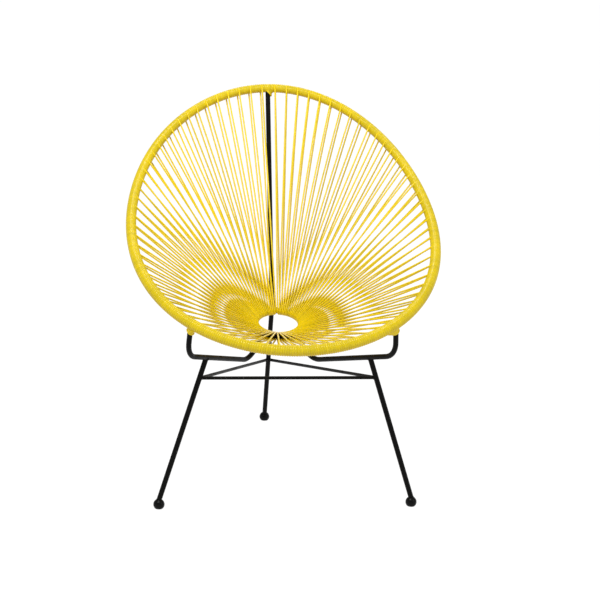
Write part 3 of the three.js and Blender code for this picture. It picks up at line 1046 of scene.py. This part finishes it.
def group(name: str, inputs: dict[str, str], outputs: dict[str, str]) -> tuple[Bench, object, object]:
    """A new shader node group.

    Args:
        name: Of the group.
        inputs: Its inputs' names and socket types, without their first word.
        outputs: Its outputs' names and socket types.

    Returns:
        The bench for its inside, and the inside's ends of its input and output sockets.
    """
    tree = bpy.data.node_groups.new(name, "ShaderNodeTree")
    for way, sockets in (("INPUT", inputs), ("OUTPUT", outputs)):
        for label, kind in sockets.items():
            tree.interface.new_socket(label, in_out=way, socket_type=f"NodeSocket{kind}")
    entry = tree.nodes.new("NodeGroupInput")
    leave = tree.nodes.new("NodeGroupOutput")
    return Bench(tree), entry.outputs, leave.inputs


def grain_group() -> bpy.types.NodeTree:
    """Grain: two sizes of noise, as a height, and a slow patchiness from 0 to 1.

    Returns:
        The group.
    """
    bench, entry, leave = group("surface_grain", {"Vector": "Vector", "Fine": "Float", "Coarse": "Float",
                                                  "Patches": "Float"}, {"Height": "Float", "Patch": "Float"})
    fine, coarse, patches = (
        bench.node("TexNoise", {"Detail": detail, "Vector": entry["Vector"], "Scale": entry[label]})[0]
        for label, detail in (("Fine", 3.0), ("Coarse", 2.0), ("Patches", 4.0)))
    coarse_share = 1.6
    bench.feed(leave, {"Height": bench.math("ADD", fine, bench.math("MULTIPLY", coarse, coarse_share)),
                       "Patch": bench.ranged(patches, (0.35, 0.65))})
    return bench.tree


def dust_group() -> bpy.types.NodeTree:
    """Dust: more on surfaces that face up, broken into patches, over a colour.

    Returns:
        The group.
    """
    bench, entry, leave = group("settled_dust", {"Color": "Color", "Dust": "Color", "Amount": "Float",
                                                 "Patch": "Float"}, {"Color": "Color", "Mask": "Float"})
    facing = bench.ranged(bench.upward(), (0.2, 1.0))
    between_patches = 0.3
    patchy = bench.math("MULTIPLY", facing, bench.math("ADD", entry["Patch"], between_patches))
    mask = bench.math("MULTIPLY", patchy, entry["Amount"])
    bench.feed(leave, {"Color": bench.mixed(mask, entry["Color"], entry["Dust"]), "Mask": mask})
    return bench.tree


def blank_material(name: str) -> tuple[bpy.types.Material, Bench, object]:
    """A new material.

    Args:
        name: Of the material.

    Returns:
        The material, the bench for its nodes, and its Principled BSDF's input sockets.
    """
    material = bpy.data.materials.new(name)
    material.use_nodes = True
    return material, Bench(material.node_tree), material.node_tree.nodes["Principled BSDF"].inputs


@dataclass(frozen=True)
class CordFinish:
    """Yellow PVC cord: smooth extruded plastic with a soft gloss, with painted shade underneath and in its
    grooves.
    """

    name: str = "yellow_pvc_cord"
    light: tuple[float, ...] = (0.78, 0.575, 0.004, 1)
    dull: tuple[float, ...] = (0.51, 0.40, 0.004, 1)
    # painted shade: the colour that surfaces facing down and the grooves between cords are darkened towards
    deep: tuple[float, ...] = (0.52, 0.34, 0.002, 1)
    stretch: tuple[float, ...] = (0.12, 1.0, 1.0)    # the grain runs along the cord
    grain_scales: tuple[float, ...] = (900.0, 260.0, 60.0)
    tone_share: float = 0.14
    patch_share: float = 0.25
    dull_range: tuple[float, float] = (-0.2, 0.7)
    underside_shade_range: tuple[float, float] = (0.1, -0.9)   # painted shade on surfaces that face down, over this span of how much the surface faces up
    underside_shade_depth: float = 0.6
    groove_shade_depth: float = 0.5
    roughness: tuple[float, float] = (0.20, 0.30)
    groove_roughness: float = 0.2
    peel: float = 0.12
    peel_height: float = 0.2 * MM
    specular: float = 0.25

    def material(self, grain: bpy.types.NodeTree) -> bpy.types.Material:
        """Makes the material from the piece's own tone, groove and UV map.

        Args:
            grain: The group for the grain.

        Returns:
            The material.
        """
        material, bench, shader = blank_material(self.name)
        mapped = bench.node("UVMap", {}, uv_map="cord_map")[0]
        stretched = bench.node("Mapping", {"Scale": self.stretch, 0: mapped})[0]
        surface = bench.node("Group", dict(zip(("Fine", "Coarse", "Patches", "Vector"),
                                               (*self.grain_scales, stretched))), node_tree=grain)
        tone = bench.node("Attribute", {}, attribute_name="tone")["Fac"]
        groove = bench.node("Attribute", {}, attribute_name="groove")["Fac"]
        patch = bench.math("MULTIPLY", surface["Patch"], self.patch_share)
        share = bench.ranged(bench.math("MULTIPLY_ADD", tone, self.tone_share, patch), self.dull_range)
        # painted shade: darker towards the shade colour where the surface faces down and where it lies in a
        # groove between cords
        under = bench.ranged(bench.upward(), self.underside_shade_range, (0.0, self.underside_shade_depth))
        painted_shade_share = bench.math("MULTIPLY_ADD", groove, self.groove_shade_depth, under)
        bench.feed(shader, {
            "Base Color": bench.mixed(painted_shade_share, bench.mixed(share, self.light, self.dull), self.deep),
            "Roughness": bench.math("MULTIPLY_ADD", groove, self.groove_roughness,
                                    bench.ranged(surface["Patch"], (0.0, 1.0), self.roughness)),
            "Normal": bench.bump(surface["Height"], self.peel, self.peel_height),
            "Specular IOR Level": self.specular})
        return material


@dataclass(frozen=True)
class CoatFinish:
    """A dark surface, dusty where it faces up: as it stands, the bars' powder coat with its orange peel."""

    name: str = "black_powder_coat"
    colour: tuple[float, ...] = (0.0030, 0.0028, 0.0025, 1)
    dust: tuple[float, ...] = (0.10, 0.095, 0.09, 1)
    dust_amount: float = 0.03
    grain_scales: tuple[float, ...] = (1400.0, 420.0, 35.0)
    roughness: tuple[float, float] = (0.34, 0.46)
    specular: float = 0.07
    peel: float = 0.22
    peel_height: float = 0.3 * MM

    def material(self, grain: bpy.types.NodeTree, dust: bpy.types.NodeTree) -> bpy.types.Material:
        """Makes the material on the object's coordinates.

        Args:
            grain: The group for the orange peel.
            dust: The group for the dust.

        Returns:
            The material.
        """
        material, bench, shader = blank_material(self.name)
        where = bench.node("TexCoord", {})["Object"]
        surface = bench.node("Group", dict(zip(("Fine", "Coarse", "Patches", "Vector"),
                                               (*self.grain_scales, where))), node_tree=grain)
        settled = bench.node("Group", {"Color": self.colour, "Dust": self.dust, "Amount": self.dust_amount,
                                       "Patch": surface["Patch"]}, node_tree=dust)
        rough = bench.ranged(surface["Patch"], (0.0, 1.0), self.roughness)
        bench.feed(shader, {
            "Base Color": settled["Color"],
            "Roughness": bench.math("ADD", rough, settled["Mask"]),
            "Normal": bench.bump(surface["Height"], self.peel, self.peel_height),
            "Specular IOR Level": self.specular})
        return material


@dataclass
class Studio:
    """Floor, background, lights and camera."""

    camera_place: tuple[float, float, float] = (-0.35844, -3.66455, 1.38848)
    yaw: float = math.radians(-5.6)
    pitch: float = math.radians(-14.83)
    roll: float = math.radians(1.55)
    sensor: float = 36.0
    picture: float = 600.0                # the photograph's width and height, in pixels
    focal: float = 1618.2                 # in the same pixels
    centre_column: float = 280.5          # where the line of sight meets the picture
    centre_row: float = 300.5
    aim: tuple[float, float, float] = (0, 0, 0.4)    # of the lights
    light_nudge: float = 0.001            # lets a light stand straight above the aim
    floor_half: float = 30.0
    floor_grey: float = 0.06
    floor_glow: float = 0.98
    sky_heights: tuple[float, float] = (0.05, 0.25)    # of a line of sight that is one long
    sky_strengths: tuple[float, float] = (0.985, 0.5)

    def put(self, name: str, data: bpy.types.ID, place: tuple[float, ...], sight: np.ndarray,
            right: np.ndarray) -> bpy.types.Object:
        """Adds an object that looks along a line of sight.

        Args:
            name: Of the object.
            data: Its camera or light.
            place: Where it stands.
            sight: The direction that it looks in.
            right: The direction of its right-hand side.

        Returns:
            The object.
        """
        turned = np.eye(4)
        turned[:3, :3] = np.stack([right, np.cross(right, sight), -sight], axis=1)
        turned[:3, 3] = place
        item = bpy.data.objects.new(name, data)
        bpy.context.scene.collection.objects.link(item)
        item.matrix_world = Matrix(turned.tolist())
        return item

    def build_camera(self) -> None:
        """The photograph's camera: heading and tilt from its angles, then rolled about the line of sight."""
        level = math.cos(self.pitch)
        sight = np.array([-math.sin(self.yaw) * level, math.cos(self.yaw) * level, math.sin(self.pitch)])
        right = unit(np.cross(sight, Z_AXIS))
        right = spokes(self.roll, right, np.cross(right, sight))
        data = bpy.data.cameras.new("camera")
        data.sensor_width = self.sensor
        data.lens = self.focal / self.picture * self.sensor
        data.shift_x = (self.picture / 2 - self.centre_column) / self.picture
        data.shift_y = (self.centre_row - self.picture / 2) / self.picture
        bpy.context.scene.camera = self.put("camera", data, self.camera_place, sight, right)

    def build_light(self, name: str, place: tuple[float, ...], size: float, power: float) -> None:
        """A square soft box that faces the middle of the chair.

        Args:
            name: Of the light.
            place: Where it stands.
            size: Its width and height.
            power: In watts.
        """
        data = bpy.data.lights.new(name, "AREA")
        data.size, data.energy = size, power
        sight = unit(np.array(self.aim) - np.array(place))
        self.put(name, data, place, sight, unit(np.cross(sight, Z_AXIS + self.light_nudge * X_AXIS)))

    def build_floor(self) -> None:
        """A plain white floor, lit from within just enough to meet the background."""
        half = self.floor_half
        mesh = bpy.data.meshes.new("studio_floor")
        mesh.from_pydata([(-half, -half, 0), (half, -half, 0), (half, half, 0), (-half, half, 0)], [],
                         [(0, 1, 2, 3)])
        material, bench, shader = blank_material("studio_white")
        bench.feed(shader, {"Base Color": (self.floor_grey, self.floor_grey, self.floor_grey, 1),
                            "Roughness": 0.9, "Specular IOR Level": 0.1, "Emission Color": (1, 1, 1, 1),
                            "Emission Strength": self.floor_glow})
        mesh.materials.append(material)
        floor = bpy.data.objects.new("studio_floor", mesh)
        bpy.context.scene.collection.objects.link(floor)

    def build_world(self) -> None:
        """Even white light, as bright as the floor just above the horizon, so that the two meet unseen."""
        world = bpy.data.worlds.new("studio_world")
        world.use_nodes = True
        bench = Bench(world.node_tree)
        height = bench.node("SeparateXYZ", {0: bench.node("TexCoord", {})["Generated"]})[2]
        bench.feed(world.node_tree.nodes["Background"].inputs, {
            "Color": (1, 1, 1, 1), "Strength": bench.ranged(height, self.sky_heights, self.sky_strengths)})
        bpy.context.scene.world = world

    def build(self) -> None:
        """Makes the studio."""
        self.build_camera()
        self.build_floor()
        self.build_world()
        bpy.context.scene.view_settings.view_transform = "Standard"
        self.build_light("key_light", (-0.8, -1.4, 3.4), size=1.4, power=92)
        self.build_light("fill_light", (2.4, -1.6, 1.8), size=2.0, power=15)
        self.build_light("back_light", (0.5, 2.4, 3.0), size=1.6, power=34)


def main() -> None:
    """Builds the chair and its studio."""
    logging.basicConfig(level=logging.INFO, format="%(message)s")
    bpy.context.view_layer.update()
    Studio().build()
    grain, dust = grain_group(), dust_group()
    cord = CordFinish().material(grain)
    coat = CoatFinish().material(grain, dust)
    bare = CoatFinish("bare_steel", (0.05, 0.045, 0.04, 1), dust_amount=0.0).material(grain, dust)
    plastic = CoatFinish("black_gloss_plastic", (0.0025, 0.0025, 0.0025, 1), dust_amount=0.02,
                         roughness=(0.20, 0.28), specular=0.1, peel=0.04).material(grain, dust)
    hoop, ring = HoopLine(), RingLine()
    Seat(hoop, ring, Side.LEFT, count=39, lean=8 * MM).build(cord)
    Seat(hoop, ring, Side.RIGHT, count=40, lean=4.5 * MM).build(cord)
    tripod = Tripod(hoop, ring, coat, bare)
    tripod.build()
    foot = BallFoot()
    lashings = {Side.LEFT: Lashing(), Side.RIGHT: Lashing(spread=24 * MM, decay=21 * MM)}
    for side, lashing in lashings.items():
        foot.build(side.word, side, tripod.front_ball, tripod.front_foot, tripod.leg_top, plastic)
        lashing.build(f"{side.word}_bracket_lashing", side, tripod.bracket_top,
                      tripod.bracket_corner - tripod.bracket_top, tripod.bracket_heading, cord)
    foot.build("rear", Side.RIGHT, tripod.rear_foot, tripod.rear_foot, tripod.rear_leg_top, plastic)
    # painted shade: the spine's lashing is given a duller tone, for the shade where it faces away from the
    # light
    spine_lashing = Lashing(reach=13 * MM, skew=8 * MM, spread=5.5 * MM, decay=12 * MM, tone=5.0)
    spine_lashing.build("spine_lashing", Side.RIGHT, tripod.spine_top,
                        tripod.spine_elbow - tripod.spine_top, tripod.spine_heading, cord)


if __name__ == "__main__":
    main()
